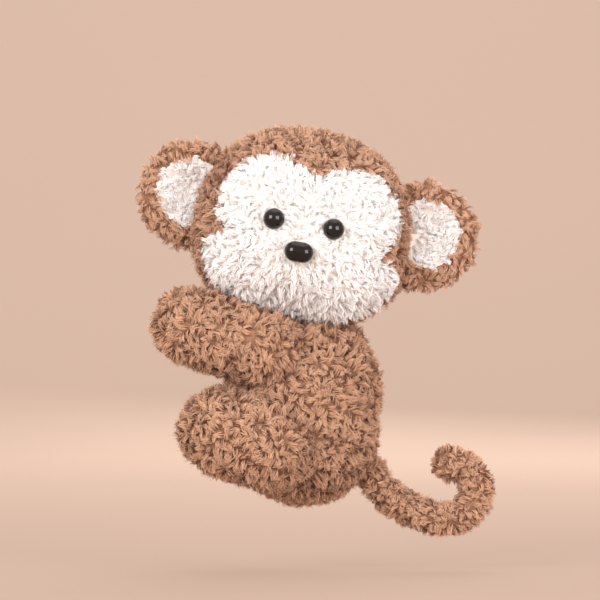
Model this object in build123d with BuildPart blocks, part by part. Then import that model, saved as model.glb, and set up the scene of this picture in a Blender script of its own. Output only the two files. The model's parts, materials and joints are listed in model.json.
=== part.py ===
"""Plush monkey that hugs the edge of a board: sewn covers, stuffing and a hidden spring clip.

Frame: +Z up, the face looks along -Y, the chest and the limbs point along -X, the tail along +X.
The origin is the middle of the gap between the limbs, where the hugged board's edge post stands.
Millimetres throughout. Covers are modelled at the middle of the pile's height.
"""
import os
from math import atan2, cos, degrees, radians, sin

from build123d import *

os.makedirs("parts", exist_ok=True)

# ---- driving dimensions ---------------------------------------------------------------------
cover_thickness = 1.6  # backing cloth with the lower half of its pile
sewing_gap = 0.3  # play between a cover and what is stuffed in it, where pieces of one body pass
swing_gap = 0.5  # play between bodies that turn against each other
hug_gap = 16.0  # between the flat inner faces of the paws and feet

# torso: turned about the clip's pin
chest_reach = 14.2  # from the origin to the chest, the bottom of the hugging gap
belly_radius = 28.3
belly_height = -17.7  # centre of the belly's round
shoulder_round = 10.0
shoulder_reach = 13.0  # from the axis to the centre of the shoulder's round
torso_top = 24.0

# head: a ball drawn out along its own left-right axis, rolled to the monkey's left
head_half_width = 41.0
head_radius = 34.7
head_roll = 10.0
head_forward = 4.0  # of the torso's axis, towards the face
head_over = 0.5  # of the torso's axis, towards the chest
head_gap = 1.4  # between the torso's top and the head

# face
patch_lift = 2.0  # how far the white patch stands above the brown cover
patch_shift = 1.5  # the patch and the ears sit a little to the monkey's left
muzzle_half_width = 25.0
muzzle_radius = 17.0
muzzle_drop = 14.5  # below the head's centre
muzzle_proud = 3.3  # in front of the head's cover
eye_radius = 4.0
eye_spacing = 22.8
eye_rise = -0.3
eye_dome = 4.4
nose_half_width = 5.5
nose_half_height = 3.9
nose_drop = 11.0
nose_proud = 0.6  # from the muzzle to the middle of the nose's ball
fitting_shift = 0.5  # eyes and nose, to the monkey's left
eye_seat_depth = 1.2  # below the patch's highest level
stem_radius = 1.3
stem_spare = 1.2  # of the stem behind its washer
washer_radius = 4.6
washer_thickness = 1.0

# ears
ear_radius = 20.0
ear_thickness = 9.0
ear_proud = 4.0  # from the head's side to the centre of the ear's disc
ear_rise = 3.8
ear_back = 2.0  # behind the head's widest line
ear_gap = 1.7
ear_dish_radius = 46.0
ear_dish_depth = 2.6
lining_radius = 13.2

# limbs: a ball at the paw or foot, another at the shoulder or hip, and the hull of both;
# each ball's reach is from the torso's axis towards the board
paw_radius = 14.0
paw_reach = 43.5
paw_height = 21.5
shoulder_radius = 15.2
arm_root_reach = 15.5
shoulder_height = 14.0
foot_radius = 16.6
foot_reach = 30.8
foot_height = -17.8
hip_radius = 17.6
hip_reach = 14.5
hip_height = -22.6
palm_depth = 1.0  # how much of the ball the flat inner face takes off

# tail: two tangent arcs in the middle plane, round ends
tail_radius = 6.0
tail_sweep_radius = 34.4
tail_curl_radius = 10.5
tail_root_angle = 61.9  # turn of the first arc, from the root to the lowest point
tail_curl_angle = 180.0
tail_root_drop = 31.9  # degrees below the belly's widest ring
tail_root_proud = 1.75  # from the belly's surface to the centre of the root's ball

# spring clip
pin_radius = 1.5
knuckle_radius = 4.2
bar_thickness = 3.0
bar_height = 8.0
arm_bar_drop = 15.0  # from the torso's top to the lower edge of the bar in the arm
leg_bar_drop = 7.3  # from the belly's middle to the lower edge of the bar in the leg
bar_reach = 35.5  # from the pin to the end of a bar, along the limb
handle_inset = 8.8  # from the belly's surface to the handle's end
handle_angle = 32.0
close_angle = 9.0
open_angle = 15.0
core_radius = 12.0  # hollow round the pin
spring_radius = 5.4
spring_wire = 0.6  # radius of the wire
spring_pitch = 1.5
spring_turns = 5
cap_radius = 2.7
cap_height = 1.2

# neck and closing seam
neck_radius = 9.0
neck_below = 3.4  # the torso's top
neck_above = 5.0  # the torso's top
neck_play = 2.0  # round the neck inside the head, for the nod
stitch_count = 8
stitch_step = 3.6  # degrees round the belly from one stitch to the next
stitch_first = -16.0
stitch_length = 3.0
stitch_radius = 0.3

far = 200.0  # larger than the toy
SIDES = (("left", -1), ("right", 1))  # of the body, which looks along -X
HEAD_SIDES = (("right", -1), ("left", 1))  # of the head, which looks along -Y

# ---- places and frames worked out from the sizes above --------------------------------------
torso_axis_x = chest_reach + belly_radius
torso_centre = Vector(torso_axis_x, 0, 0)
roll = radians(head_roll)
head_straight = head_half_width - head_radius
head_centre = Vector(
    torso_axis_x - head_over,
    -head_forward,
    torso_top + head_gap + head_radius + head_straight * sin(roll),
)
head_plane = Plane(
    origin=head_centre, x_dir=(cos(roll), 0, -sin(roll)), z_dir=(0, -1, 0)
)


def head_point(across, up, forward):
    """A point given in the head's own frame: to the viewer's right, up and to the front."""
    return head_plane.from_local_coords(Vector(across, up, forward))


# ---- plain solids that several pieces are cut from ------------------------------------------
def long_ball(plane, half_length, radius):
    """Ball drawn out along the plane's own x axis: a short round bar with round ends."""
    straight = half_length - radius
    with BuildPart() as body:
        with BuildSketch():
            with Locations((-straight, 0), (straight, 0)):
                Circle(radius)
            make_hull()
            with Locations((0, -far / 2)):
                Rectangle(2 * far, far, mode=Mode.SUBTRACT)
        revolve(axis=Axis.X)
    return body.part.moved(plane.location)


def hull_of_balls(start, start_radius, end, end_radius):
    """Two balls and the cone that touches both."""
    line = end - start
    plane = Plane(origin=start, x_dir=line, z_dir=line.cross(Vector(0, 0, 1)))
    with BuildPart() as body:
        with BuildSketch():
            Circle(start_radius)
            with Locations((line.length, 0)):
                Circle(end_radius)
            make_hull()
            with Locations((0, -far / 2)):
                Rectangle(2 * far, far, mode=Mode.SUBTRACT)
        revolve(axis=Axis.X)
    return body.part.moved(plane.location)


def torso_solid(inset):
    """The torso's outer form, moved inwards by inset."""
    shoulder_centre = torso_top - shoulder_round
    with BuildPart() as body:
        with BuildSketch(Plane.XZ):
            with Locations((0, belly_height)):
                Circle(belly_radius - inset)
            with Locations((-shoulder_reach, shoulder_centre), (shoulder_reach, shoulder_centre)):
                Circle(shoulder_round - inset)
            make_hull()
            with Locations((-far / 2, 0)):
                Rectangle(far, 2 * far, mode=Mode.SUBTRACT)
        revolve(axis=Axis.Z)
    return body.part.moved(Location(torso_centre))


def wedge(middle, before, after, radius, bottom, height):
    """Upright sector about the pin, from middle - before to middle + after degrees."""
    with BuildPart() as body:
        with BuildSketch(Plane(origin=(torso_axis_x, 0, bottom))):
            with BuildLine():
                arc = CenterArc((0, 0), radius, middle - before, before + after)
                Line((0, 0), arc @ 0)
                Line((0, 0), arc @ 1)
            make_face()
        extrude(amount=height)
    return body.part


def upright(x, y, radius, bottom, top):
    """Upright round bar."""
    with BuildPart() as body:
        with BuildSketch(Plane.XY.offset(bottom)):
            with Locations((x, y)):
                Circle(radius)
        extrude(amount=top - bottom)
    return body.part


def facing(plane, radius, bottom, top):
    """Round bar along the plane's own z axis."""
    with BuildPart() as body:
        with BuildSketch(plane.offset(bottom)):
            Circle(radius)
        extrude(amount=top - bottom)
    return body.part


def save(piece, label):
    piece.label = label
    export_step(piece, "parts/" + label + ".step")


# ---- clip ------------------------------------------------------------------------------------
arm_bar_bottom = torso_top - arm_bar_drop
leg_bar_bottom = belly_height - leg_bar_drop
jaw_height = arm_bar_bottom + bar_height - leg_bar_bottom
paw_y = hug_gap / 2 + paw_radius - palm_depth
bar_angle = degrees(atan2(paw_y, paw_reach))  # to the middle of the paw
bar_length = bar_reach / cos(radians(bar_angle))
handle_length = belly_radius - handle_inset
knuckle_height = (bar_height - sewing_gap) / 2
pin_bottom = leg_bar_bottom - 2.0
pin_top = arm_bar_bottom + bar_height + 1.0
bar_levels = (arm_bar_bottom, leg_bar_bottom)


def lever_bar(direction, length, bottom, height):
    """Flat bar from the pin outwards, with a full round end."""
    turn = radians(direction)
    middle = (length / 2 * cos(turn), length / 2 * sin(turn))
    tip = (length * cos(turn), length * sin(turn))
    with BuildPart() as body:
        with BuildSketch(Plane(origin=(torso_axis_x, 0, bottom))):
            with Locations(Location(middle, direction)):
                Rectangle(length, bar_thickness)
            with Locations(tip):
                Circle(bar_thickness / 2)
        extrude(amount=height)
    return body.part


def limb_direction(side):
    return 180 - side * bar_angle


def handle_direction(side):
    return side * handle_angle


bars_in_limb = {}
for name, side in SIDES:
    bars = [lever_bar(limb_direction(side), bar_length, z, bar_height) for z in bar_levels]
    bars_in_limb[side] = bars
    spine = lever_bar(handle_direction(side), handle_length, leg_bar_bottom, jaw_height)
    with BuildPart() as clip_jaw:
        for bar in bars:
            add(bar)
        add(spine)
        add(upright(torso_axis_x, 0, core_radius, -far, far), mode=Mode.SUBTRACT)
        for level in bar_levels:
            low = level if side < 0 else level + bar_height - knuckle_height
            for direction in (limb_direction(side), handle_direction(side)):
                add(lever_bar(direction, core_radius + 1.0, low, knuckle_height))
            add(upright(torso_axis_x, 0, knuckle_radius, low, low + knuckle_height))
            add(
                upright(torso_axis_x, 0, pin_radius, low - 1, low + bar_height),
                mode=Mode.SUBTRACT,
            )
    save(clip_jaw.part, "clip_jaw_" + name)

with BuildPart() as clip_pin:
    add(upright(torso_axis_x, 0, pin_radius, pin_bottom, pin_top))
save(clip_pin.part, "clip_pin")

with BuildPart() as clip_pin_caps:
    add(upright(torso_axis_x, 0, cap_radius, pin_top, pin_top + cap_height))
    add(upright(torso_axis_x, 0, cap_radius, pin_bottom - cap_height, pin_bottom))
save(clip_pin_caps.part, "clip_pin_caps")

spring_height = spring_pitch * spring_turns
spring_bottom = (arm_bar_bottom + leg_bar_bottom + bar_height - spring_height) / 2
with BuildPart() as clip_spring:
    with BuildLine(Plane(origin=(torso_axis_x, 0, spring_bottom))) as coil:
        Helix(pitch=spring_pitch, height=spring_height, radius=spring_radius)
    with BuildSketch(Plane(origin=coil.line @ 0, z_dir=coil.line % 0)):
        Circle(spring_wire)
    sweep(is_frenet=True)
save(clip_spring.part, "clip_spring")

# ---- torso -----------------------------------------------------------------------------------
torso_outer = torso_solid(0)
torso_inner = torso_solid(cover_thickness)
torso_clearance = torso_solid(-swing_gap)
edge_angle = 11.0  # half a bar and its play, seen from the pin at the hollow's wall

neck_bottom = torso_top - neck_below
neck_top = torso_top + neck_above
root_drop = radians(tail_root_drop)
root_reach = belly_radius + tail_root_proud
tail_start = torso_centre + Vector(
    root_reach * cos(root_drop), 0, belly_height - root_reach * sin(root_drop)
)
tail_socket_radius = tail_radius + swing_gap
with BuildPart() as torso_hollows:
    add(upright(torso_axis_x, 0, core_radius, pin_bottom - cap_height - 1, neck_bottom))
    add(upright(torso_axis_x, 0, neck_radius + swing_gap, neck_bottom - swing_gap, far))
    for name, side in SIDES:
        opening, closing = open_angle + edge_angle, close_angle + edge_angle
        before, after = (closing, opening) if side < 0 else (opening, closing)
        for level in bar_levels:
            add(
                wedge(
                    limb_direction(side),
                    before,
                    after,
                    far,
                    level - swing_gap,
                    bar_height + 2 * swing_gap,
                )
            )
        add(
            wedge(
                handle_direction(side),
                before,
                after,
                handle_length + bar_thickness / 2 + swing_gap,
                leg_bar_bottom - swing_gap,
                jaw_height + 2 * swing_gap,
            )
        )
    with Locations(tail_start):
        Sphere(tail_socket_radius)

with BuildPart() as torso_cover:
    add(torso_outer)
    add(torso_inner, mode=Mode.SUBTRACT)
    add(torso_hollows.part, mode=Mode.SUBTRACT)
save(torso_cover.part, "torso_cover")

with BuildPart() as torso_stuffing:
    add(torso_inner)
    add(torso_hollows.part, mode=Mode.SUBTRACT)
save(torso_stuffing.part, "torso_stuffing")

with BuildPart() as neck_stuffing:
    add(upright(torso_axis_x, 0, neck_radius, neck_bottom, neck_top))
    fillet(neck_stuffing.edges().group_by(Axis.Z)[-1], neck_radius / 4)
save(neck_stuffing.part, "neck_stuffing")

with BuildPart() as closing_stitches:
    for number in range(stitch_count):
        turn = radians(stitch_first + number * stitch_step)
        reach = belly_radius + 1.5 * stitch_radius
        middle = torso_centre + Vector(
            reach * cos(turn), 0, belly_height + reach * sin(turn)
        )
        with BuildSketch(Plane(origin=middle, z_dir=(0, 1, 0))):
            Circle(stitch_radius)
        extrude(amount=stitch_length / 2, both=True)
save(closing_stitches.part, "closing_stitches")

# ---- head ------------------------------------------------------------------------------------
head_outer = long_ball(head_plane, head_half_width, head_radius)
head_inner = long_ball(
    head_plane, head_half_width - cover_thickness, head_radius - cover_thickness
)
head_raised = long_ball(head_plane, head_half_width + patch_lift, head_radius + patch_lift)
muzzle_forward = head_radius + muzzle_proud - muzzle_radius
muzzle_plane = Plane(
    origin=head_point(0, -muzzle_drop, muzzle_forward),
    x_dir=head_plane.x_dir,
    z_dir=head_plane.z_dir,
)
muzzle = long_ball(muzzle_plane, muzzle_half_width, muzzle_radius)

# outline of the white patch in the head's frame: two brow lobes over two wider cheeks
brow_notch = (0, 21.0)
brow_top = (17.5, 26.0)
brow_side = (34.0, 11.0)
cheek_notch = (32.0, -7.0)
cheek_side = (37.5, -19.0)
chin = (0, -34.0)
brow_slopes = ((1, 0.75), (-0.6, -1))  # where the brow's edge starts and ends
cheek_slopes = ((1, -0.6), (-1, 0))

with BuildPart() as patch_block:
    with BuildSketch(head_plane):
        with Locations((patch_shift, 0)):
            with BuildSketch(mode=Mode.PRIVATE) as half_patch:
                with BuildLine():
                    Spline(brow_notch, brow_top, brow_side, cheek_notch, tangents=brow_slopes)
                    Spline(cheek_notch, cheek_side, chin, tangents=cheek_slopes)
                    Line(chin, brow_notch)
                make_face()
                mirror(about=Plane.YZ)
            add(half_patch.sketch)
    extrude(amount=far)



def washer_front(across, up):
    """How far forward a flat washer fits behind the cover."""
    outward = max(0, abs(across) + washer_radius - head_straight)
    upward = abs(up) + washer_radius
    inner_radius = head_radius - cover_thickness
    return (inner_radius**2 - outward**2 - upward**2) ** 0.5 - sewing_gap


def fitting_plane(across, up):
    return Plane(
        origin=head_point(across, up, 0), x_dir=head_plane.x_dir, z_dir=head_plane.z_dir
    )


eye_seat = head_radius + patch_lift - eye_seat_depth
nose_seat = muzzle_forward + muzzle_radius + nose_proud
fittings = [
    ("eye_" + name, fitting_shift + side * eye_spacing / 2, eye_rise, eye_seat)
    for name, side in HEAD_SIDES
]
fittings.append(("nose", fitting_shift, -nose_drop, nose_seat))
nose_ball = long_ball(
    fitting_plane(fitting_shift, -nose_drop).offset(nose_seat), nose_half_width, nose_half_height
)

with BuildPart() as stem_holes:
    for label, across, up, seat in fittings:
        back = washer_front(across, up) - washer_thickness - stem_spare
        add(facing(fitting_plane(across, up), stem_radius, back, seat))
with BuildPart() as washer_seats:
    for label, across, up, seat in fittings:
        front = washer_front(across, up)
        add(facing(fitting_plane(across, up), washer_radius, front - washer_thickness, front))
with BuildPart() as eye_seats:
    for label, across, up, seat in fittings[:2]:
        add(facing(fitting_plane(across, up), eye_radius, seat, far))

neck_hole = upright(torso_axis_x, 0, neck_radius + neck_play, 0, neck_top + neck_play)

with BuildPart() as face_patch:
    add(head_raised)
    add(muzzle)
    add(patch_block.part, mode=Mode.INTERSECT)
    add(head_outer, mode=Mode.SUBTRACT)
    add(stem_holes.part, mode=Mode.SUBTRACT)
    add(eye_seats.part, mode=Mode.SUBTRACT)
    add(nose_ball, mode=Mode.SUBTRACT)
    add(neck_hole, mode=Mode.SUBTRACT)
save(face_patch.part, "face_patch")

with BuildPart() as head_cover:
    add(head_outer)
    add(head_inner, mode=Mode.SUBTRACT)
    add(stem_holes.part, mode=Mode.SUBTRACT)
    add(eye_seats.part, mode=Mode.SUBTRACT)
    add(neck_hole, mode=Mode.SUBTRACT)
save(head_cover.part, "head_cover")

with BuildPart() as head_stuffing:
    add(head_inner)
    add(stem_holes.part, mode=Mode.SUBTRACT)
    add(washer_seats.part, mode=Mode.SUBTRACT)
    add(neck_hole, mode=Mode.SUBTRACT)
save(head_stuffing.part, "head_stuffing")

for label, across, up, seat in fittings:
    plane = fitting_plane(across, up)
    front = washer_front(across, up)
    with BuildPart() as dome:
        with BuildSketch(Plane.XZ):
            with BuildLine():
                Line((eye_radius, 0), (eye_radius, eye_dome - eye_radius))
                CenterArc((0, eye_dome - eye_radius), eye_radius, 0, 90)
                Polyline((eye_radius, 0), (0, 0), (0, eye_dome))
            make_face()
        revolve(axis=Axis.Z)
    with BuildPart() as fitting:
        if label == "nose":
            add(nose_ball)
        else:
            add(dome.part.moved(plane.offset(seat).location))
        add(facing(plane, stem_radius, front - washer_thickness - stem_spare, seat))
    save(fitting.part, label)
    with BuildPart() as washer:
        add(facing(plane, washer_radius, front - washer_thickness, front))
        add(facing(plane, stem_radius, 0, seat), mode=Mode.SUBTRACT)
    save(washer.part, label + "_washer")

# ---- ears ------------------------------------------------------------------------------------
head_clearance = long_ball(head_plane, head_half_width + ear_gap, head_radius + ear_gap)


def ear_disc(plane, inset):
    """Round pad with a full round rim."""
    rim = ear_thickness / 2 - inset
    rim_reach = ear_radius - ear_thickness / 2
    with BuildPart() as body:
        with BuildSketch(Plane.XZ):
            with Locations((-rim_reach, 0), (rim_reach, 0)):
                Circle(rim)
            make_hull()
            with Locations((-far / 2, 0)):
                Rectangle(far, 2 * far, mode=Mode.SUBTRACT)
        revolve(axis=Axis.Z)
    return body.part.moved(plane.location)


for name, side in HEAD_SIDES:
    ear_plane = Plane(
        origin=head_point(
            patch_shift + side * (head_half_width + ear_proud), ear_rise, -ear_back
        ),
        x_dir=head_plane.x_dir,
        z_dir=head_plane.z_dir,
    )
    dish_forward = ear_thickness / 2 - ear_dish_depth + ear_dish_radius
    with BuildPart() as dish:
        with Locations(ear_plane.offset(dish_forward).origin):
            Sphere(ear_dish_radius)
    with BuildPart() as deeper_dish:
        with Locations(ear_plane.offset(dish_forward).origin):
            Sphere(ear_dish_radius + cover_thickness)
    ear_outer = ear_disc(ear_plane, 0)
    lining_block = facing(ear_plane, lining_radius, -ear_thickness, ear_thickness)

    with BuildPart() as ear_padding:
        add(ear_disc(ear_plane, cover_thickness))
        add(deeper_dish.part, mode=Mode.SUBTRACT)
        add(head_clearance, mode=Mode.SUBTRACT)
    with BuildPart() as ear_lining:
        add(ear_outer)
        add(lining_block, mode=Mode.INTERSECT)
        add(deeper_dish.part, mode=Mode.INTERSECT)
        add(dish.part, mode=Mode.SUBTRACT)
        add(head_clearance, mode=Mode.SUBTRACT)
    with BuildPart() as ear_cover:
        add(ear_outer)
        add(dish.part, mode=Mode.SUBTRACT)
        add(head_clearance, mode=Mode.SUBTRACT)
        add(ear_padding.part, mode=Mode.SUBTRACT)
        add(ear_lining.part, mode=Mode.SUBTRACT)
    save(ear_padding.part, "ear_padding_" + name)
    save(ear_lining.part, "ear_lining_" + name)
    save(ear_cover.part, "ear_cover_" + name)

# ---- limbs -----------------------------------------------------------------------------------
with BuildPart() as hugged_board:
    Box(2 * far, hug_gap, 2 * far)


def ball_centre(reach, radius, height, side):
    """Centre of a ball that the board's face cuts palm_depth deep."""
    return Vector(torso_axis_x - reach, side * (hug_gap / 2 + radius - palm_depth), height)


def limb_solid(limb, side, inset):
    """An arm or a leg, moved inwards by inset."""
    if limb == "arm":
        tip = ball_centre(paw_reach, paw_radius, paw_height, side)
        root = ball_centre(arm_root_reach, shoulder_radius, shoulder_height, side)
        return hull_of_balls(tip, paw_radius - inset, root, shoulder_radius - inset)
    tip = ball_centre(foot_reach, foot_radius, foot_height, side)
    root = ball_centre(hip_reach, hip_radius, hip_height, side)
    return hull_of_balls(tip, foot_radius - inset, root, hip_radius - inset)


for name, side in SIDES:
    for number, limb in enumerate(("arm", "leg")):
        outer = limb_solid(limb, side, 0)
        inner = limb_solid(limb, side, cover_thickness)
        with BuildPart() as limb_stuffing:
            add(inner)
            add(torso_clearance, mode=Mode.SUBTRACT)
            add(hugged_board.part, mode=Mode.SUBTRACT)
            add(bars_in_limb[side][number], mode=Mode.SUBTRACT)
        with BuildPart() as limb_cover:
            add(outer)
            add(inner, mode=Mode.SUBTRACT)
            add(torso_clearance, mode=Mode.SUBTRACT)
            add(hugged_board.part, mode=Mode.SUBTRACT)
            add(bars_in_limb[side][number], mode=Mode.SUBTRACT)
        save(limb_stuffing.part, limb + "_stuffing_" + name)
        save(limb_cover.part, limb + "_cover_" + name)

# ---- tail ------------------------------------------------------------------------------------
root_turn = radians(tail_root_angle)
lowest = tail_start + Vector(
    tail_sweep_radius * sin(root_turn), 0, -tail_sweep_radius * (1 - cos(root_turn))
)
sweep_centre = lowest + Vector(0, 0, tail_sweep_radius)
curl_centre = lowest + Vector(0, 0, tail_curl_radius)
curl_turn = radians(tail_curl_angle)
tail_tip = curl_centre + Vector(
    tail_curl_radius * sin(curl_turn), 0, -tail_curl_radius * cos(curl_turn)
)


def tail_solid(radius):
    """Two bent tubes with a ball at each end."""
    with BuildPart() as body:
        with BuildSketch(Plane(origin=lowest, x_dir=(0, 1, 0), z_dir=(1, 0, 0))):
            Circle(radius)
        revolve(axis=Axis(sweep_centre, (0, 1, 0)), revolution_arc=tail_root_angle)
        with BuildSketch(Plane(origin=lowest, x_dir=(0, 1, 0), z_dir=(1, 0, 0))):
            Circle(radius)
        revolve(axis=Axis(curl_centre, (0, -1, 0)), revolution_arc=tail_curl_angle)
        with Locations(tail_start, tail_tip):
            Sphere(radius)
    return body.part


tail_inner = tail_solid(tail_radius - cover_thickness)
with BuildPart() as tail_cover:
    add(tail_solid(tail_radius))
    add(tail_inner, mode=Mode.SUBTRACT)
save(tail_cover.part, "tail_cover")

with BuildPart() as tail_stuffing:
    add(tail_inner)
save(tail_stuffing.part, "tail_stuffing")
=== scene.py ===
"""Plush monkey that hugs a board's edge: sewn skins, curly pile as real geometry, safety eyes and nose.

Metres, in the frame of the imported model: +Z up, the face looks along -Y, the limbs point along -X.
"""
import json
from math import cos, pi, radians, sin

import bmesh
import bpy
import numpy as np
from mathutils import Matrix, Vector
from mathutils.kdtree import KDTree


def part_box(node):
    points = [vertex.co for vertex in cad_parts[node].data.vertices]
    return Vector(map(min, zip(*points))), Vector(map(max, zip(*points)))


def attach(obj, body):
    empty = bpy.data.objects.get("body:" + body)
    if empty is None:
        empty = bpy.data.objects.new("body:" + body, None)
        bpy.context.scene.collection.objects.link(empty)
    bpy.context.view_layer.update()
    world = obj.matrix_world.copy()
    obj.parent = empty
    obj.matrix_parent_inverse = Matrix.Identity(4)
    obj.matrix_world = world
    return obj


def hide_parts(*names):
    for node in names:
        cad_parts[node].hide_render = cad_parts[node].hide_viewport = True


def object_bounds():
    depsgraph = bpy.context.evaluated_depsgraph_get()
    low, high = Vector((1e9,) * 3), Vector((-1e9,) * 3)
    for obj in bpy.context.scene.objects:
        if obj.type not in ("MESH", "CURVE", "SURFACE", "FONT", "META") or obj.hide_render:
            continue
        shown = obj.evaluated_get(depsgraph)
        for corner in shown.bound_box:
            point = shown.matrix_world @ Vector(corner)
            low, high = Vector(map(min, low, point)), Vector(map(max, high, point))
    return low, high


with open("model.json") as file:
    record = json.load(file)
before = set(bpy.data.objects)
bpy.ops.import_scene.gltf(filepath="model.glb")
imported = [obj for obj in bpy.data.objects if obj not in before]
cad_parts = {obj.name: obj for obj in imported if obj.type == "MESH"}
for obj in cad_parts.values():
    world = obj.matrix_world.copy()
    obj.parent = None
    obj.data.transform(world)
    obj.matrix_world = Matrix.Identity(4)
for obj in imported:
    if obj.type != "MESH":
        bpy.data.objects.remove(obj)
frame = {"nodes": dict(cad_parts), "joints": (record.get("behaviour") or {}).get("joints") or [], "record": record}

cad_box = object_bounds()
MM = 0.001
rng = np.random.default_rng(20)

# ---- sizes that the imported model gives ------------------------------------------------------
BOARD_HALF = -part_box("arm_cover_left")[1].y  # half the gap between the paws
PALM_CUT = 1.0 * MM  # how deep the board's face cuts each ball of a limb
MOUNTS = {m["name"]: np.array(m["pos_m"]) for m in frame["record"]["mounts"]}
JOINTS = {j["name"]: j for j in frame["joints"]}

# ---- pile and skin ---------------------------------------------------------------------------
SKIN_INSET = 1.5 * MM  # the skin lies under the CAD surface, the pile reaches over it
PILE = 3.6 * MM  # how high a lock's tip stands over the skin
SHORT_PILE = 1.4 * MM  # on the inner faces of the paws and feet
LOCK_SPACING = 1.66 * MM
CLOSEST = 0.86  # least distance between two locks, as a share of the spacing
TRIES_PER_LOCK = 5
LOCK_RADIUS = 1.0 * MM
BROAD, FINE = 5, 11  # fibres in a lock
SEGMENTS = 4
BROAD_WIDTH = 0.44 * MM
FINE_WIDTH = 0.22 * MM
MAX_FIBRES = 24000  # in one piece
ROOT_DEPTH = 0.2 * MM  # how far a fibre starts under the skin
ROOT_LEAN = (-0.15, 0.55)  # angles from upright, in radians, shared by a lock
TIP_LEAN = (1.3, 2.15)
FIBRE_LEAN = 0.22  # how much a fibre differs from its lock
TIP_SPREAD = 0.3
STRAY_SHARE = 0.07  # fine fibres that stand up out of their lock
LENGTH_PER_HEIGHT = 1.3  # a bent fibre is longer than the height it reaches
CRIMP = 0.13 * MM
TONE_SPREAD = 0.12
UV_HALF_WIDTH = 0.006
DOWNWARDS = np.array([0, 0, -0.35])  # how much the pile's lie leans to the ground


def unit(v):
    return v / np.maximum(np.linalg.norm(v, axis=-1, keepdims=True), 1e-12)


def smooth(x, low, high):
    t = np.clip((x - low) / (high - low), 0, 1)
    return t * t * (3 - 2 * t)


# ---- materials -------------------------------------------------------------------------------
def new_material(name, roughness, sheen=0.0):
    material = bpy.data.materials.new(name)
    material.use_nodes = True
    shader = material.node_tree.nodes["Principled BSDF"]
    shader.inputs["Roughness"].default_value = roughness
    if sheen:
        shader.inputs["Sheen Weight"].default_value = sheen
        shader.inputs["Sheen Roughness"].default_value = 0.4
    return material, material.node_tree, shader


def ramp_node(tree, stops, source):
    ramp = tree.nodes.new("ShaderNodeValToRGB")
    elements = ramp.color_ramp.elements
    while len(elements) < len(stops):
        elements.new(0.5)
    for element, (place, colour) in zip(elements, stops):
        element.position = place
        element.color = (*colour, 1)
    tree.links.new(source, ramp.inputs["Fac"])
    return ramp


def noise_colour(tree, shader, scale, stops, detail=2):
    """Base colour from a noise in the object's own space."""
    place = tree.nodes.new("ShaderNodeTexCoord")
    noise = tree.nodes.new("ShaderNodeTexNoise")
    noise.inputs["Scale"].default_value = scale
    noise.inputs["Detail"].default_value = detail
    tree.links.new(place.outputs["Object"], noise.inputs["Vector"])
    ramp = ramp_node(tree, stops, noise.outputs["Fac"])
    tree.links.new(ramp.outputs["Color"], shader.inputs["Base Color"])
    return noise


def noise_bump(tree, shader, noise, distance, strength=1.0):
    bump = tree.nodes.new("ShaderNodeBump")
    bump.inputs["Strength"].default_value = strength
    bump.inputs["Distance"].default_value = distance
    tree.links.new(noise.outputs["Fac"], bump.inputs["Height"])
    tree.links.new(bump.outputs["Normal"], shader.inputs["Normal"])


def pile_material(name, root, middle, tip, darkest, lightest):
    """Colour runs from root to tip along V, darker at the root as painted shade deep in the pile between the
    locks, and each fibre's random tone along U.
    """
    material, tree, shader = new_material(name, 0.9, 0.25)
    place = tree.nodes.new("ShaderNodeUVMap")
    place.uv_map = "OFBake"
    split = tree.nodes.new("ShaderNodeSeparateXYZ")
    tree.links.new(place.outputs["UV"], split.inputs["Vector"])
    # darker towards the root: painted shade deep in the pile between the locks
    along = ramp_node(tree, [(0.0, root), (0.45, middle), (1.0, tip)], split.outputs["Y"])
    shade = ramp_node(
        tree, [(0.0, (darkest,) * 3), (0.5, (0.92,) * 3), (1.0, (lightest,) * 3)], split.outputs["X"]
    )
    mix = tree.nodes.new("ShaderNodeMix")
    mix.data_type = "RGBA"
    mix.blend_type = "MULTIPLY"
    mix.inputs["Factor"].default_value = 1
    first, second, result = mix.inputs[6], mix.inputs[7], mix.outputs[2]  # the node's colour sockets
    tree.links.new(along.outputs["Color"], first)
    tree.links.new(shade.outputs["Color"], second)
    tree.links.new(result, shader.inputs["Base Color"])
    return material


def skin_material(name, dark, light):
    """Knit backing under the pile."""
    material, tree, shader = new_material(name, 0.95, 0.1)
    noise = noise_colour(tree, shader, 420, [(0.35, dark), (0.7, light)], detail=4)
    noise_bump(tree, shader, noise, 0.4 * MM)
    return material


def eye_material():
    """Polished black plastic with the faint ripple of a moulded dome."""
    material, tree, shader = new_material("eye_black", 0.09)
    shader.inputs["Specular IOR Level"].default_value = 0.42
    stops = [(0.3, (0.004, 0.003, 0.003)), (0.8, (0.012, 0.009, 0.008))]
    noise = noise_colour(tree, shader, 160, stops)
    noise_bump(tree, shader, noise, 0.05 * MM, 0.15)
    return material


def plain_material(name, low, high, scale, roughness, metallic=0.0):
    """Moulded plastic, drawn wire or thread, for the pieces inside."""
    material, tree, shader = new_material(name, roughness)
    shader.inputs["Metallic"].default_value = metallic
    noise_colour(tree, shader, scale, [(0.3, low), (0.75, high)])
    return material


# the root colours, darker than the tips, are painted shade deep in the pile
BROWN_PILE = pile_material(
    "brown_pile", (0.36, 0.185, 0.113), (0.55, 0.305, 0.194), (0.66, 0.40, 0.265), 0.80, 1.06
)
WHITE_PILE = pile_material(
    "white_pile", (0.93, 0.895, 0.885), (0.97, 0.955, 0.96), (0.98, 0.97, 0.98), 0.96, 1.01
)
BROWN_SKIN = skin_material("brown_backing", (0.24, 0.12, 0.07), (0.36, 0.19, 0.115))
WHITE_SKIN = skin_material("white_backing", (0.82, 0.77, 0.74), (0.9, 0.86, 0.84))
EYE_BLACK = eye_material()

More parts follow.
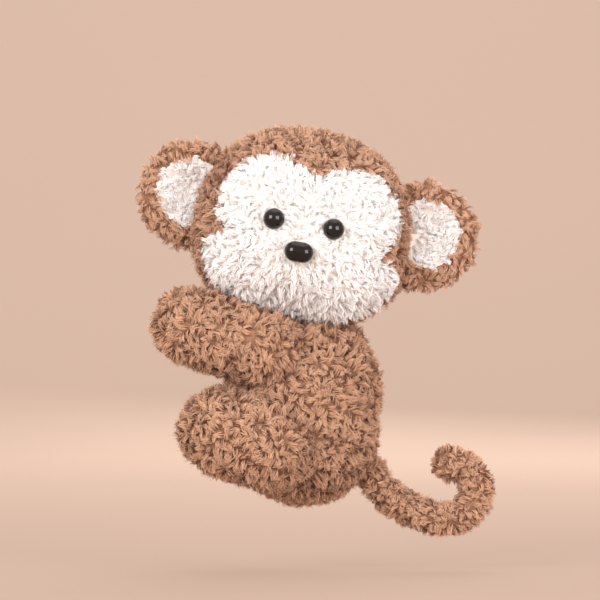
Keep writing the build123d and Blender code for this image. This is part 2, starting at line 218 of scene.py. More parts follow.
INNER_MATERIALS = {
    "clip_jaw_left": plain_material("clip_plastic", (0.62, 0.62, 0.6), (0.74, 0.74, 0.72), 300, 0.45),
    "clip_pin": plain_material("pin_steel", (0.5, 0.5, 0.52), (0.66, 0.66, 0.68), 900, 0.3, 1.0),
    "closing_stitches": plain_material("thread", (0.2, 0.11, 0.07), (0.34, 0.2, 0.13), 2500, 0.85),
    "nose_washer": plain_material("washer_plastic", (0.7, 0.7, 0.68), (0.82, 0.82, 0.8), 400, 0.5),
}
INNER_MATERIALS["clip_jaw_right"] = INNER_MATERIALS["clip_jaw_left"]
for label in ("clip_pin_caps", "clip_spring"):
    INNER_MATERIALS[label] = INNER_MATERIALS["clip_pin"]
for label in ("eye_left_washer", "eye_right_washer"):
    INNER_MATERIALS[label] = INNER_MATERIALS["nose_washer"]
for label in ("eye_left", "eye_right", "nose"):
    INNER_MATERIALS[label] = EYE_BLACK
for label, material in INNER_MATERIALS.items():
    node = frame["nodes"][label]
    node.data.materials.clear()
    node.data.materials.append(material)
    node.data.shade_smooth()


# ---- meshes ----------------------------------------------------------------------------------
def ball_directions(level=6):
    """Unit directions and triangles of a round ball."""
    ball = bmesh.new()
    bmesh.ops.create_icosphere(ball, subdivisions=level, radius=1)
    points = np.array([v.co for v in ball.verts])
    faces = np.array([[v.index for v in f.verts] for f in ball.faces])
    ball.free()
    return unit(points), faces


BALL, BALL_FACES = ball_directions()


def point_normals(points, faces):
    a, b, c = (points[faces[:, i]] for i in range(3))
    across = np.cross(b - a, c - a)
    total = np.zeros_like(points)
    for i in range(3):
        np.add.at(total, faces[:, i], across)
    return unit(total)


def add_object(name, data):
    thing = bpy.data.objects.new(name, data)
    bpy.context.scene.collection.objects.link(thing)
    return thing


def finish_piece(mesh, material, body):
    mesh.materials.append(material)
    mesh.shade_smooth()
    piece = add_object(mesh.name, mesh)
    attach(piece, body)
    return piece


def mesh_piece(name, points, faces, material, body, slot):
    mesh = bpy.data.meshes.new(name)
    mesh.from_pydata(points.tolist(), [], faces.tolist())
    return finish_piece(mesh, material, body)


def part_of(points, faces, kept):
    """The faces that are kept, with only their own points."""
    faces = faces[kept]
    used = np.unique(faces)
    place = np.zeros(len(points), int)
    place[used] = np.arange(len(used))
    return points[used], place[faces]


# ---- pile ------------------------------------------------------------------------------------
def lock_roots(points, faces, spacing):
    """Evenly scattered places on a mesh, with the triangle and weights of each."""
    a, b, c = (points[faces[:, i]] for i in range(3))
    area = np.linalg.norm(np.cross(b - a, c - a), axis=1) / 2
    count = int(TRIES_PER_LOCK * area.sum() / spacing**2)
    face = rng.choice(len(faces), count, p=area / area.sum())
    r1, r2 = np.sqrt(rng.random(count)), rng.random(count)
    weights = np.stack([1 - r1, r1 * (1 - r2), r1 * r2], 1)
    places = (points[faces[face]] * weights[:, :, None]).sum(1)
    tree = KDTree(count)
    for i, p in enumerate(places):
        tree.insert(p, i)
    tree.balance()
    alive = np.ones(count, bool)
    for i, p in enumerate(places):
        if alive[i]:
            for _, j, _ in tree.find_range(p, spacing * CLOSEST):
                if j > i:
                    alive[j] = False
    return places[alive], face[alive], weights[alive]


WAVES = np.array([[0.51, 0.17, -0.33], [-0.22, 0.48, 0.29], [0.31, -0.36, 0.44]]) / MM
PHASES = np.array([0.4, 2.1, 4.0])


def swirl(roots, normals):
    """The way the locks of the brown pile lie: slow swirls, and a little downwards."""
    way = np.sin(roots @ WAVES.T + PHASES) + DOWNWARDS
    return tangent(way, normals)


def tangent(way, normals):
    """The part of a direction that lies in the surface."""
    return unit(way - (way * normals).sum(1, keepdims=True) * normals)


def fibre_strips(roots, normals, way, height, shade, wild):
    """Locks of flat fibres that share a bend, close over at the tip, and lie over their neighbours.

    Gives each strip's points, its quads, and their UV: a fibre's shade along U, root to tip along V.
    """
    locks = len(roots)
    turn = rng.normal(0, wild, locks)[:, None]
    across = np.cross(normals, way)
    lean = way * np.cos(turn) + across * np.sin(turn)
    side = np.cross(normals, lean)
    fibres = BROAD + FINE
    broad = np.arange(fibres) < BROAD
    t = np.linspace(0, 1, SEGMENTS + 1)

    def each(low, high):
        return rng.uniform(low, high, (locks, fibres, 1))

    root_bend = rng.uniform(*ROOT_LEAN, (locks, 1, 1)) + each(-FIBRE_LEAN, FIBRE_LEAN)
    tip_bend = rng.uniform(*TIP_LEAN, (locks, 1, 1)) + each(-TIP_SPREAD, TIP_SPREAD)
    stray = (rng.random((locks, fibres, 1)) < STRAY_SHARE) & ~broad[None, :, None]
    tip_bend = np.where(stray, root_bend + each(-0.5, 0.7), tip_bend)
    bend = root_bend + (tip_bend - root_bend) * t**1.3
    curl = rng.normal(0, 0.75, (locks, 1, 1)) * t + each(-TIP_SPREAD, TIP_SPREAD) * t
    length = LENGTH_PER_HEIGHT * height[:, None, None] * each(0.78, 1.08)
    step = length / SEGMENTS

    def summed(x):
        middle = (x[..., 1:] + x[..., :-1]) / 2
        return np.concatenate([np.zeros_like(x[..., :1]), np.cumsum(middle * step, -1)], -1)

    rise = summed(np.cos(bend))
    ahead = summed(np.sin(bend) * np.cos(curl))
    aside = summed(np.sin(bend) * np.sin(curl))
    out = np.sqrt(each(0.0, 1.0)) * LOCK_RADIUS
    angle = each(0, 2 * pi)
    close = 1 + 0.3 * np.sin(pi * t) - 0.62 * t**2
    crimp = CRIMP * np.sin(rng.uniform(0, 2 * pi, (locks, 1, 1)) + 8 * t) * t
    ahead = ahead + out * np.cos(angle) * close
    aside = aside + out * np.sin(angle) * close + crimp
    line = (
        roots[:, None, None, :]
        + ahead[..., None] * lean[:, None, None, :]
        + aside[..., None] * side[:, None, None, :]
        + (rise - ROOT_DEPTH)[..., None] * normals[:, None, None, :]
    )
    along = unit(np.gradient(line, axis=2))
    facing = normals[:, None, None, :] + 0.22 * rng.normal(0, 1, (locks, fibres, 1, 3))
    facing = facing + 0.5 * (t[:, None] - 0.3) * lean[:, None, None, :]
    flat = unit(np.cross(along, facing))
    width = np.where(broad, BROAD_WIDTH, FINE_WIDTH)[None, :, None] * each(0.8, 1.2)
    width = width * (1 - 0.15 * (1 - t) - 0.75 * t**2.2)
    points = np.stack([line - flat * width[..., None] / 2, line + flat * width[..., None] / 2], 3)

    count = locks * fibres
    first = np.arange(count)[:, None] * 2 * (SEGMENTS + 1) + np.arange(SEGMENTS)[None, :] * 2
    quads = np.stack([first, first + 1, first + 3, first + 2], -1).reshape(-1, 4)
    tone = shade[:, None] + rng.normal(0, TONE_SPREAD, (locks, fibres))
    v = np.linspace(0.02, 0.98, SEGMENTS + 1)
    low = np.repeat(v[None, :-1], count, 0).reshape(-1)
    high = np.repeat(v[None, 1:], count, 0).reshape(-1)
    u = np.repeat(np.clip(tone, 0.02, 0.98).reshape(-1), SEGMENTS)
    left, right = u - UV_HALF_WIDTH, u + UV_HALF_WIDTH
    uv = [(left, low), (right, low), (right, high), (left, high)]
    return points.reshape(-1, 3), quads, np.stack([np.stack(p, 1) for p in uv], 1)


def pile_piece(name, strips, material, body):
    points, quads, uv = strips
    mesh = bpy.data.meshes.new(name)
    mesh.vertices.add(len(points))
    mesh.vertices.foreach_set("co", points.astype(np.float32).ravel())
    mesh.loops.add(len(quads) * 4)
    mesh.loops.foreach_set("vertex_index", quads.astype(np.int32).ravel())
    mesh.polygons.add(len(quads))
    mesh.polygons.foreach_set("loop_start", np.arange(len(quads), dtype=np.int32) * 4)
    mesh.update(calc_edges=True)
    layer = mesh.uv_layers.new(name="OFBake")
    layer.uv.foreach_set("vector", uv.astype(np.float32).ravel())
    finish_piece(mesh, material, body)


def grow_pile(name, roots, normals, height, material, body, way=None, wild=0.95):
    """Pile over one part, in as many pieces as its size needs."""
    way = swirl(roots, normals) if way is None else way
    per_piece = MAX_FIBRES // (BROAD + FINE)
    pieces = -(-len(roots) // per_piece)
    order = np.argsort(roots[:, 2])
    shade = np.clip(rng.normal(0.5, 0.15, len(roots)), 0.05, 0.95)
    for number, chosen in enumerate(np.array_split(order, pieces)):
        strips = fibre_strips(
            roots[chosen], normals[chosen], way[chosen], height[chosen], shade[chosen], wild
        )
        label = name if pieces == 1 else f"{name}_{number + 1}"
        pile_piece(label, strips, material, body)


def roots_on(points, faces, spacing=LOCK_SPACING):
    """Roots of locks all over a mesh, and the smooth normal at each."""
    normals = point_normals(points, faces)
    places, face, weights = lock_roots(points, faces, spacing)
    at = unit((normals[faces[face]] * weights[:, :, None]).sum(1))
    return places, at


# ---- head ------------------------------------------------------------------------------------
def centre_of(node):
    low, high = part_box(node)
    return np.array((low + high) / 2)


eye_line = centre_of("eye_left") - centre_of("eye_right")
HEAD_ACROSS = unit(np.array([eye_line[0], 0, eye_line[2]]))
HEAD_UP = np.array([-HEAD_ACROSS[2], 0, HEAD_ACROSS[0]])
HEAD_FORWARD = np.array([0, -1.0, 0])
head_low, head_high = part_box("head_cover")
HEAD_RADIUS = (head_high.y - head_low.y) / 2
HEAD_STRAIGHT = ((head_high.x - head_low.x) / 2 - HEAD_RADIUS) / HEAD_ACROSS[0]
HEAD_CENTRE = np.array(
    [
        (head_low.x + head_high.x) / 2,
        (head_low.y + head_high.y) / 2,
        head_high.z - HEAD_RADIUS + HEAD_STRAIGHT * HEAD_ACROSS[2],
    ]
)
HEAD_AXES = np.stack([HEAD_ACROSS, HEAD_UP, HEAD_FORWARD])


def to_head(points):
    return (points - HEAD_CENTRE) @ HEAD_AXES.T


def from_head(local):
    return HEAD_CENTRE + local @ HEAD_AXES


# right half of the white patch's outline: from the brow's notch round the brow and the cheek to the chin
FACE_SHIFT = 1.9 * MM
FACE_HALF = MM * np.array(
    [
        (0, 19.4), (6.5, 22.4), (15, 25.0), (23.5, 23.8), (31.0, 18.6), (36.2, 9.5), (36.6, 2.0),
        (34.9, -3.2), (29.4, -7.2), (35.4, -10.4), (39.6, -16), (37.6, -23.5), (32.3, -30),
        (21, -36), (0, -38),
    ]
)
CHEEK_NOTCH = 8  # which of these points is the notch between brow and cheek
SEAM_DIP, SEAM_HALF = 0.9 * MM, 1.3 * MM  # where the patch is sewn to the head
PATCH_LIFT = 1.3 * MM
MUZZLE_RISE = 3.6 * MM
MUZZLE_PLACE = (0.8 * MM, -14.0 * MM)
MUZZLE_SIZE = (19 * MM, 13.5 * MM)
CHEEK_RISE = 1.2 * MM
CHEEK_ASIDE, CHEEK_HEIGHT = 24 * MM, -18 * MM
CHEEK_SIZE = (13 * MM, 12 * MM)
JAW_RISE = 3.0 * MM
JAW_WAY = np.array([0.66, -0.74, 0.25])
EYE_DIP = 0.7 * MM
EYE_DIP_SIZE = (5 * MM, 5 * MM)
CROWN_RISE = 0.045  # share of the height that the crown gains
TIP_REACH = 2 * MM  # how far the pile's tips stand over the CAD surface
NECK_BARE, NECK_BARE_TOP = 9 * MM, 8 * MM  # the head has no pile where the neck is sewn on
FACE_WILD = 0.6  # the white pile lies tidier than the brown


def curve_point(p, t):
    """Point on a Catmull-Rom curve, between the second and third of four points."""
    cubic = 3 * p[1] - p[0] - 3 * p[2] + p[3]
    square = 2 * p[0] - 5 * p[1] + 4 * p[2] - p[3]
    return 0.5 * (2 * p[1] + (p[2] - p[0]) * t + square * t * t + cubic * t**3)


def closed_outline():
    """The patch's whole outline: a smooth curve through its points, broken at the two cheek notches."""
    left = FACE_HALF[-2:0:-1] * (-1, 1)
    corners = np.concatenate([FACE_HALF, left]) + (FACE_SHIFT, 0)
    count = len(corners)
    sharp = {CHEEK_NOTCH, count - CHEEK_NOTCH}
    fine = []
    for i in range(count):
        p = [corners[(i + k) % count] for k in (-1, 0, 1, 2)]
        if i in sharp:
            p[0] = p[1]
        if (i + 1) % count in sharp:
            p[3] = p[2]
        fine += [curve_point(p, t) for t in np.arange(0, 1, 0.1)]
    return np.array(fine)


OUTLINE = closed_outline()


def inside_patch(local):
    """Signed distance from the patch's outline as seen from the front, positive inside."""
    p = local[:, :2]
    a, b = OUTLINE, np.roll(OUTLINE, -1, 0)
    edge = b - a
    best = np.full(len(p), 1e9)
    inside = np.zeros(len(p), bool)
    for start, end, step in zip(a, b, edge):
        t = np.clip(((p - start) @ step) / (step @ step), 0, 1)
        best = np.minimum(best, np.linalg.norm(p - start - t[:, None] * step, axis=1))
        crosses = (start[1] > p[:, 1]) != (end[1] > p[:, 1])
        x = start[0] + (p[:, 1] - start[1]) * step[0] / (step[1] or 1e-12)
        inside ^= crosses & (p[:, 0] < x)
    return np.where(inside, best, -best)


def patch_depth(local):
    """As inside_patch, measured at the height of the pile's tips, and only on the front."""
    outer = local * (1 + (SKIN_INSET + TIP_REACH) / HEAD_RADIUS)
    front = local[:, 2] - 1.5 * MM
    return np.minimum(inside_patch(outer), front)


def mound(local, place, size, power=1.25):
    """One at a place on the face, and fading to nothing around it."""
    x = (local[:, 0] - place[0]) / size[0]
    y = (local[:, 1] - place[1]) / size[1]
    return np.exp(-((x * x + y * y) ** power)) * smooth(local[:, 2], 0, 12 * MM)


FITTINGS = {name: to_head(centre_of(name)[None])[0] for name in ("eye_left", "eye_right", "nose")}


def head_skin():
    """Points of the head's skin, and how deep each lies in the white patch."""
    radius = HEAD_RADIUS - SKIN_INSET
    local = BALL * radius
    local[:, 0] += HEAD_STRAIGHT * np.tanh(2.5 * BALL[:, 0])
    local[:, 1] *= 1 + CROWN_RISE * smooth(local[:, 1], 0, radius)
    depth = patch_depth(local)
    rise = PATCH_LIFT * smooth(depth, -0.2 * MM, 3.5 * MM)
    rise = rise - SEAM_DIP * np.exp(-((depth / SEAM_HALF) ** 2)) * (local[:, 2] > 2 * MM)
    rise = rise + MUZZLE_RISE * mound(local, MUZZLE_PLACE, MUZZLE_SIZE)
    for way in (-1, 1):
        cheek = (FACE_SHIFT + way * CHEEK_ASIDE, CHEEK_HEIGHT)
        rise = rise + CHEEK_RISE * mound(local, cheek, CHEEK_SIZE)
        jaw = unit(JAW_WAY * (way, 1, 1))
        rise = rise + JAW_RISE * smooth(BALL @ jaw, 0.72, 1.0)
    for name in ("eye_left", "eye_right"):
        rise = rise - EYE_DIP * mound(local, FITTINGS[name][:2], EYE_DIP_SIZE)
    return from_head(local + BALL * rise[:, None]), depth


def near_fittings(local):
    """Distance to the nearest eye or the nose, in their half sizes, and large on the back."""
    near = np.full(len(local), 9.0)
    for name, place in FITTINGS.items():
        half = (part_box(name)[1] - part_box(name)[0]) / 2
        away = (local - place)[:, :2] / (half.x, half.z)
        near = np.where(local[:, 2] > 0, np.minimum(near, np.linalg.norm(away, axis=1)), near)
    return near


def build_head():
    points, depth = head_skin()
    white = depth[BALL_FACES].mean(1) > 0
    piece = mesh_piece(
        "head_skin", *part_of(points, BALL_FACES, ~white), BROWN_SKIN, "head", "brown_plush"
    )
    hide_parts("head_cover", "head_stuffing")
    face = mesh_piece(
        "face_skin", *part_of(points, BALL_FACES, white), WHITE_SKIN, "head", "white_plush"
    )
    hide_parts("face_patch")

    roots, normals = roots_on(points, BALL_FACES)
    local = to_head(roots)
    near = near_fittings(local)
    white = patch_depth(local) > 0
    height = PILE * rng.uniform(0.88, 1.12, len(roots)) * np.where(white, 0.9, 1.0)
    height = height * (0.5 + 0.5 * smooth(near, 0.9, 1.9))
    neck = JOINTS["head_turn"]["pos_m"]
    from_neck = np.hypot(roots[:, 0] - neck[0], roots[:, 1] - neck[1])
    clear = (near > 0.85) & ~((from_neck < NECK_BARE) & (roots[:, 2] < neck[2] + NECK_BARE_TOP))
    from_nose = roots - from_head(FITTINGS["nose"][None])
    away = tangent(unit(from_nose) + DOWNWARDS, normals)
    combed = unit(away + 0.8 * swirl(roots, normals))
    brown = clear & ~white
    grow_pile("head_pile", roots[brown], normals[brown], height[brown], BROWN_PILE, "head")
    white &= clear
    grow_pile(
        "face_pile", roots[white], normals[white], height[white], WHITE_PILE, "head",
        tangent(combed, normals)[white], wild=FACE_WILD,
    )


def inside_head(points, play):
    """Whether a point is in the head's ball, or within the play around it."""
    local = to_head(points)
    along = np.clip(local[:, 0], -HEAD_STRAIGHT, HEAD_STRAIGHT)
    return np.hypot(np.hypot(local[:, 0] - along, local[:, 1]), local[:, 2]) < HEAD_RADIUS + play


# ---- ears ------------------------------------------------------------------------------------
EAR_CUP = 3.2 * MM  # how far the rim stands forward of the middle
EAR_INSET = 0.3 * MM
LINING_OUT, LINING_UP = 0.8 * MM, 1.0 * MM
EAR_HEAD_PLAY = 0.3 * MM


def build_ear(side):
    """A cupped disc, thin in the middle, with its white lining let into the front."""
    node = "ear_cover_" + side
    low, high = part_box(node)
    radius = (high.z - low.z) / 2
    half_thick = (high.y - low.y) / 2
    way = 1 if side == "left" else -1
    outer_x = high.x if way > 0 else low.x
    centre = np.array([outer_x - way * radius, (low.y + high.y) / 2, (low.z + high.z) / 2])
    lining_low, lining_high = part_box("ear_lining_" + side)
    lining = (lining_high.z - lining_low.z) / 2
    lining_shift = np.array([way * LINING_OUT, LINING_UP])
    flat = BALL[:, :2] * (radius - EAR_INSET)
    out = np.linalg.norm(flat, axis=1) / (radius - EAR_INSET)
    thick = half_thick * (0.42 + 0.5 * smooth(out, 0.3, 0.72))
    w = BALL[:, 2] * thick + EAR_CUP * (out**2 - 0.45)
    points = centre + flat[:, :1] * HEAD_ACROSS + flat[:, 1:] * HEAD_UP + w[:, None] * HEAD_FORWARD
    front = BALL[:, 2] > 0
    depth = np.where(front, lining - np.linalg.norm(flat - lining_shift, axis=1), -1)
    white = depth[BALL_FACES].mean(1) > 0
    body = side + "_ear"
    piece = mesh_piece(
        "ear_skin_" + side, *part_of(points, BALL_FACES, ~white), BROWN_SKIN, body, "brown_plush"
    )
    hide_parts(node, "ear_padding_" + side)
    inner = mesh_piece(
        "ear_lining_skin_" + side, *part_of(points, BALL_FACES, white), WHITE_SKIN, body, "white_plush"
    )
    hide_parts("ear_lining_" + side)

    roots, normals = roots_on(points, BALL_FACES)
    clear = ~inside_head(roots, EAR_HEAD_PLAY)
    roots, normals = roots[clear], normals[clear]
    offset = roots - centre
    out = np.hypot(offset @ HEAD_ACROSS - lining_shift[0], offset @ HEAD_UP - lining_shift[1])
    white = (normals @ HEAD_FORWARD > 0.25) & (out < lining)
    height = PILE * rng.uniform(0.8, 1.08, len(roots)) * np.where(white, 0.72, 0.94)
    for name, chosen, material, slot in (
        ("ear_pile_", ~white, BROWN_PILE, "brown_plush"),
        ("ear_lining_pile_", white, WHITE_PILE, "white_plush"),
    ):
        grow_pile(name + side, roots[chosen], normals[chosen], height[chosen], material, body)


# ---- torso -----------------------------------------------------------------------------------
torso_low, torso_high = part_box("torso_cover")
TORSO_X = (torso_low.x + torso_high.x) / 2
BELLY = (torso_high.x - torso_low.x) / 2
BELLY_Z = torso_low.z + BELLY
SHOULDER_ROUND = 10 * MM
SHOULDER_REACH = 13 * MM
BACK_SEAM_DIP, BACK_SEAM_HALF = 0.8 * MM, 1.4 * MM
COLLAR_BARE, COLLAR_BARE_DEPTH = 10 * MM, 5 * MM  # no pile where the neck stands on the torso


def torso_profile():
    """Half of the torso's outline, reach by height, from the bottom to the top."""
    shoulder_z = torso_high.z - SHOULDER_ROUND
    rise = shoulder_z - BELLY_Z
    apart = np.hypot(rise, SHOULDER_REACH)
    lean = np.arctan2(rise, SHOULDER_REACH) - np.arccos((BELLY - SHOULDER_ROUND) / apart)
    low = np.linspace(-pi / 2, lean, 60)
    high = np.linspace(lean, pi / 2, 40)
    shoulder_reach = SHOULDER_REACH + SHOULDER_ROUND * np.cos(high)
    shoulder_height = shoulder_z + SHOULDER_ROUND * np.sin(high)
    reach = np.concatenate([BELLY * np.cos(low), shoulder_reach, [0]])
    z = np.concatenate([BELLY_Z + BELLY * np.sin(low), shoulder_height, [torso_high.z]])
    return reach, z


PROFILE_R, PROFILE_Z = torso_profile()


def torso_radius(z):
    return np.interp(z, PROFILE_Z[:-1], PROFILE_R[:-1], left=0, right=0)


def from_axis(points):
    return np.hypot(points[:, 0] - TORSO_X, points[:, 1])


def inside_torso(points, play):
    """Whether a point lies deeper in the torso than the play."""
    return from_axis(points) < torso_radius(points[:, 2]) - play


def build_torso():
    middle = (torso_low.z + torso_high.z) / 2
    flat = np.hypot(BALL[:, 0], BALL[:, 1])
    bearing = np.arctan2(PROFILE_Z - middle, PROFILE_R)
    away = np.interp(np.arctan2(BALL[:, 2], flat), bearing, np.hypot(PROFILE_R, PROFILE_Z - middle))
    points = BALL * (away - SKIN_INSET)[:, None] + (TORSO_X, 0, middle)
    seam = np.exp(-((points[:, 1] / BACK_SEAM_HALF) ** 2)) * (points[:, 0] > TORSO_X)
    points[:, 0] -= BACK_SEAM_DIP * seam
    piece = mesh_piece("torso_skin", points, BALL_FACES, BROWN_SKIN, "torso", "brown_plush")
    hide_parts("torso_cover", "torso_stuffing")
    roots, normals = roots_on(points, BALL_FACES)
    clear = ~((roots[:, 2] > torso_high.z - COLLAR_BARE_DEPTH) & (from_axis(roots) < COLLAR_BARE))
    roots, normals = roots[clear], normals[clear]
    height = PILE * rng.uniform(0.86, 1.14, len(roots))
    grow_pile("torso_pile", roots, normals, height, BROWN_PILE, "torso")
    neck = neck_points(*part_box("neck_stuffing"))
    collar = mesh_piece("neck_skin", neck, BALL_FACES, BROWN_SKIN, "neck", "brown_plush")
    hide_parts("neck_stuffing")


def neck_points(low, high):
    """The ball drawn out to the neck's round column."""
    radius = (high.x - low.x) / 2
    middle, half = (low.z + high.z) / 2, (high.z - low.z) / 2
    flat = np.maximum(np.hypot(BALL[:, 0], BALL[:, 1]), 0.3)
    x, y = radius * BALL[:, 0] / flat, radius * BALL[:, 1] / flat
    return np.stack([TORSO_X + x, y, middle + half * BALL[:, 2]], 1)


# ---- limbs -----------------------------------------------------------------------------------
PAW_HUMP = 2.2 * MM
WAIST = 0.05  # how much a limb narrows between paw and root
BOARD_PLAY = 0.9 * MM  # the skin stops this far short of the board
LIMB_SUNK = 1.5 * MM  # no pile deeper than this in the torso
PRESSED_DEPTH = (1 * MM, 4 * MM)  # the pile is short up to the first, full from the second


def build_limb(limb, side):
    """Two balls and what lies between them, cut flat where they face the board."""
    way = -1 if side == "left" else 1
    node = limb + "_cover_" + side
    low, high = (np.array(v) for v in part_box(node))
    face = MOUNTS[("palm_" if limb == "arm" else "foot_") + side]
    tip_radius = face[0] - low[0]
    root_radius = (high[1] - low[1] + PALM_CUT) / 2
    tip = np.array([face[0], way * (BOARD_HALF + tip_radius - PALM_CUT), face[2]])
    root_y = way * (BOARD_HALF + root_radius - PALM_CUT)
    root = np.array([high[0] - root_radius, root_y, low[2] + root_radius])
    line = root - tip
    axis = unit(line)
    up = unit(np.cross(axis, [0, 1.0, 0])) * -1
    up = up if up[2] > 0 else -up
    side_way = np.cross(axis, up)
    t = 0.5 + 0.5 * np.tanh(2.0 * BALL[:, 0]) / np.tanh(2.0)
    local = BALL[:, :1] * axis + BALL[:, 1:2] * up + BALL[:, 2:3] * side_way
    size = tip_radius + (root_radius - tip_radius) * t - SKIN_INSET
    size = size * (1 - WAIST * np.exp(-(((t - 0.55) / 0.16) ** 2)))
    if limb == "arm":
        size = size + PAW_HUMP * smooth(local @ unit(up - 0.4 * axis), 0.55, 1.0) * (1 - t)
    points = tip + line * t[:, None] + local * size[:, None]
    inner = way * (BOARD_HALF + BOARD_PLAY)
    points[:, 1] = np.where(points[:, 1] * way < inner * way, inner, points[:, 1])
    body = side + "_limbs"
    piece = mesh_piece(f"{limb}_skin_{side}", points, BALL_FACES, BROWN_SKIN, body, "brown_plush")
    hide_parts(node, f"{limb}_stuffing_{side}")
    roots, normals = roots_on(points, BALL_FACES)
    clear = ~inside_torso(roots, LIMB_SUNK)
    roots, normals = roots[clear], normals[clear]
    height = PILE * rng.uniform(0.86, 1.14, len(roots))
    facing_board = normals[:, 1] * -way
    gap = (roots[:, 1] - way * BOARD_HALF) * way
    pressed = smooth(facing_board, 0.5, 0.95) * (1 - smooth(gap, *PRESSED_DEPTH))
    height = height * (1 - pressed) + SHORT_PILE * pressed
    grow_pile(f"{limb}_pile_{side}", roots, normals, height, BROWN_PILE, body)


# ---- tail ------------------------------------------------------------------------------------
TAIL_INSET = 1.2 * MM
TAIL_END_SWELL = 0.06
TAIL_SUNK = 0.5 * MM
TAIL_PILE = 0.86 * PILE
TAIL_SPACING = 0.95 * LOCK_SPACING
TAIL_RINGS, TAIL_AROUND = 150, 48


def tail_line(radius, low, high, reach):
    """The tail's middle line, a long sweep and then a tight curl, run on straight past both ends."""
    start = np.array(JOINTS["tail_swing"]["pos_m"])
    bottom = low.z + radius
    curl = (high.z - radius - bottom) / 2
    lowest = np.array([high.x - radius - curl, 0, bottom])
    run, drop = lowest[0] - start[0], start[2] - bottom
    sweep = (run**2 + drop**2) / (2 * drop)
    first_turn = np.arcsin(run / sweep)
    length = sweep * first_turn + curl * pi
    places = np.linspace(-reach, length + reach, TAIL_RINGS)
    centre, along = [], []
    for place in places:
        p = np.clip(place, 0, length)
        if p < sweep * first_turn:
            turn = first_turn - p / sweep
            c = lowest + [-sweep * sin(turn), 0, sweep * (1 - cos(turn))]
            d = np.array([cos(turn), 0, -sin(turn)])
        else:
            turn = (p - sweep * first_turn) / curl
            c = lowest + [curl * sin(turn), 0, curl * (1 - cos(turn))]
            d = np.array([cos(turn), 0, sin(turn)])
        centre.append(c + d * (place - p))
        along.append(d)
    return np.array(centre), np.array(along), places, length


def build_tail():
    """A tube along two arcs, with round ends."""
    low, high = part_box("tail_cover")
    radius = (high.y - low.y) / 2
    skin_radius = radius - TAIL_INSET
    centre, along, places, length = tail_line(radius, low, high, skin_radius)
    beyond = np.maximum(0, np.maximum(-places, places - length)) / skin_radius
    size = skin_radius * np.sqrt(np.maximum(1 - beyond**2, 0))
    size = size * (1 + TAIL_END_SWELL * smooth(places, length * 0.75, length))
    turn = np.linspace(0, 2 * pi, TAIL_AROUND, endpoint=False)[None, :, None]
    up = np.stack([-along[:, 2], np.zeros(TAIL_RINGS), along[:, 0]], 1)
    ring = np.cos(turn) * np.array([0, 1.0, 0]) + np.sin(turn) * up[:, None, :]
    points = (centre[:, None, :] + ring * size[:, None, None]).reshape(-1, 3)
    i, j = np.meshgrid(np.arange(TAIL_RINGS - 1), np.arange(TAIL_AROUND), indexing="ij")
    a, b = i * TAIL_AROUND + j, i * TAIL_AROUND + (j + 1) % TAIL_AROUND
    c, d = a + TAIL_AROUND, b + TAIL_AROUND
    halves = [np.stack([a, b, d], -1), np.stack([a, d, c], -1)]
    faces = np.concatenate([half.reshape(-1, 3) for half in halves])
    piece = mesh_piece("tail_skin", points, faces, BROWN_SKIN, "tail", "brown_plush")
    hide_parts("tail_cover", "tail_stuffing")
    roots, normals = roots_on(points, faces, TAIL_SPACING)
    clear = ~inside_torso(roots, TAIL_SUNK)
    height = TAIL_PILE * rng.uniform(0.86, 1.14, len(roots))
    grow_pile("tail_pile", roots[clear], normals[clear], height[clear], BROWN_PILE, "tail")


build_head()
build_torso()
build_tail()
for side in ("left", "right"):
    build_ear(side)
    for limb in ("arm", "leg"):
        build_limb(limb, side)


# ---- studio ----------------------------------------------------------------------------------
def add_light(name, place, target, size, power, colour):
    data = bpy.data.lights.new(name, "AREA")
    data.size = size
    data.energy = power
    data.color = colour
    lamp = add_object(name, data)
    lamp.location = place
    lamp.rotation_euler = (Vector(target) - Vector(place)).to_track_quat("-Z", "Y").to_euler()


VIEW_CENTRE = Vector((0.0410, -0.02, 0.0323))
VIEW_WIDTH = 0.228
LENS = 250.0
SENSOR = 36.0

camera_data = bpy.data.cameras.new("camera")
camera_data.lens = LENS
camera_data.sensor_width = SENSOR
camera = add_object("camera", camera_data)
camera.location = VIEW_CENTRE + Vector((0, -VIEW_WIDTH * LENS / SENSOR, 0))
camera.rotation_euler = (radians(90), 0, 0)
bpy.context.scene.camera = camera


FLOOR_GAP = 14 * MM  # the toy hangs clear of the floor, as it does on its board


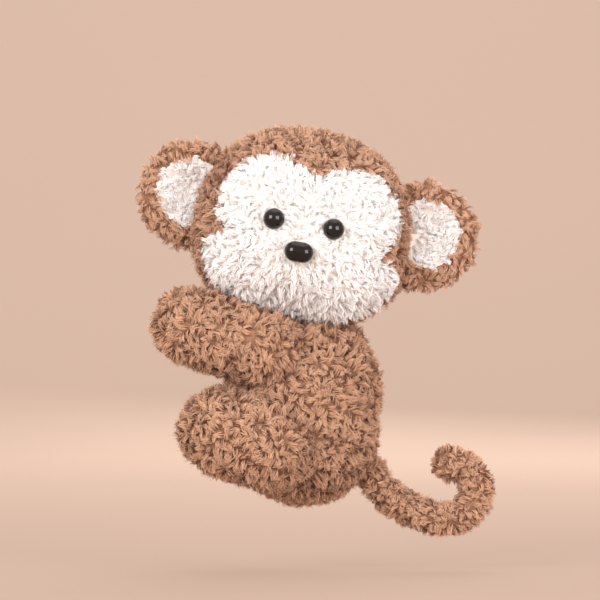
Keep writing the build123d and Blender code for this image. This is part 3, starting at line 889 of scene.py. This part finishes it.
def add_sweep():
    """A pale floor that curves up into the backdrop behind the toy."""
    floor_z = cad_box[0].z - FLOOR_GAP
    front, back, bend, top, half = -3.0, 2.5, 1.4, 3.0, 4.0
    line = [(front, floor_z), (0, floor_z)]
    for turn in np.linspace(0, pi / 2, 25):
        line.append((back - bend + bend * sin(turn), floor_z + bend * (1 - cos(turn))))
    line.append((back, floor_z + top))
    sheet = bmesh.new()
    rows = [[sheet.verts.new((x, y, z)) for x in (-half, half)] for y, z in line]
    for low, high in zip(rows, rows[1:]):
        sheet.faces.new((low[0], low[1], high[1], high[0]))
    mesh = bpy.data.meshes.new("sweep")
    sheet.to_mesh(mesh)
    sheet.free()
    mesh.shade_smooth()
    material, tree, shader = new_material("sweep_paper", 1.0)
    shader.inputs["Specular IOR Level"].default_value = 0  # no glare where the camera looks along it
    noise_colour(tree, shader, 1.5, [(0.3, (0.17, 0.127, 0.103)), (0.7, (0.18, 0.134, 0.109))])
    shader.inputs["Emission Color"].default_value = (0.74, 0.53, 0.42, 1)
    shader.inputs["Emission Strength"].default_value = 0.55  # evens out floor and backdrop
    mesh.materials.append(material)
    add_object("sweep", mesh)


add_sweep()
world = bpy.data.worlds.new("studio")
world.use_nodes = True
world.node_tree.nodes["Background"].inputs["Color"].default_value = (1.0, 0.93, 0.87, 1)
world.node_tree.nodes["Background"].inputs["Strength"].default_value = 0.72
bpy.context.scene.world = world
bpy.context.scene.view_settings.view_transform = "Standard"

MIDDLE = (0.045, 0, 0.03)
add_light("key", (-0.75, -1.05, 0.5), MIDDLE, 0.7, 16, (1, 0.97, 0.94))
add_light("fill", (0.85, -1.0, 0.3), MIDDLE, 0.8, 14, (1, 0.96, 0.93))
add_light("top", (0.1, 0.1, 1.1), MIDDLE, 0.9, 3, (1, 0.97, 0.94))
add_light("behind", (0.3, 1.1, 0.5), MIDDLE, 0.9, 11, (1, 0.96, 0.93))
add_light("backdrop", (0, 1.3, 1.7), (0, 2.5, 0.2), 1.4, 30, (1, 0.96, 0.93))
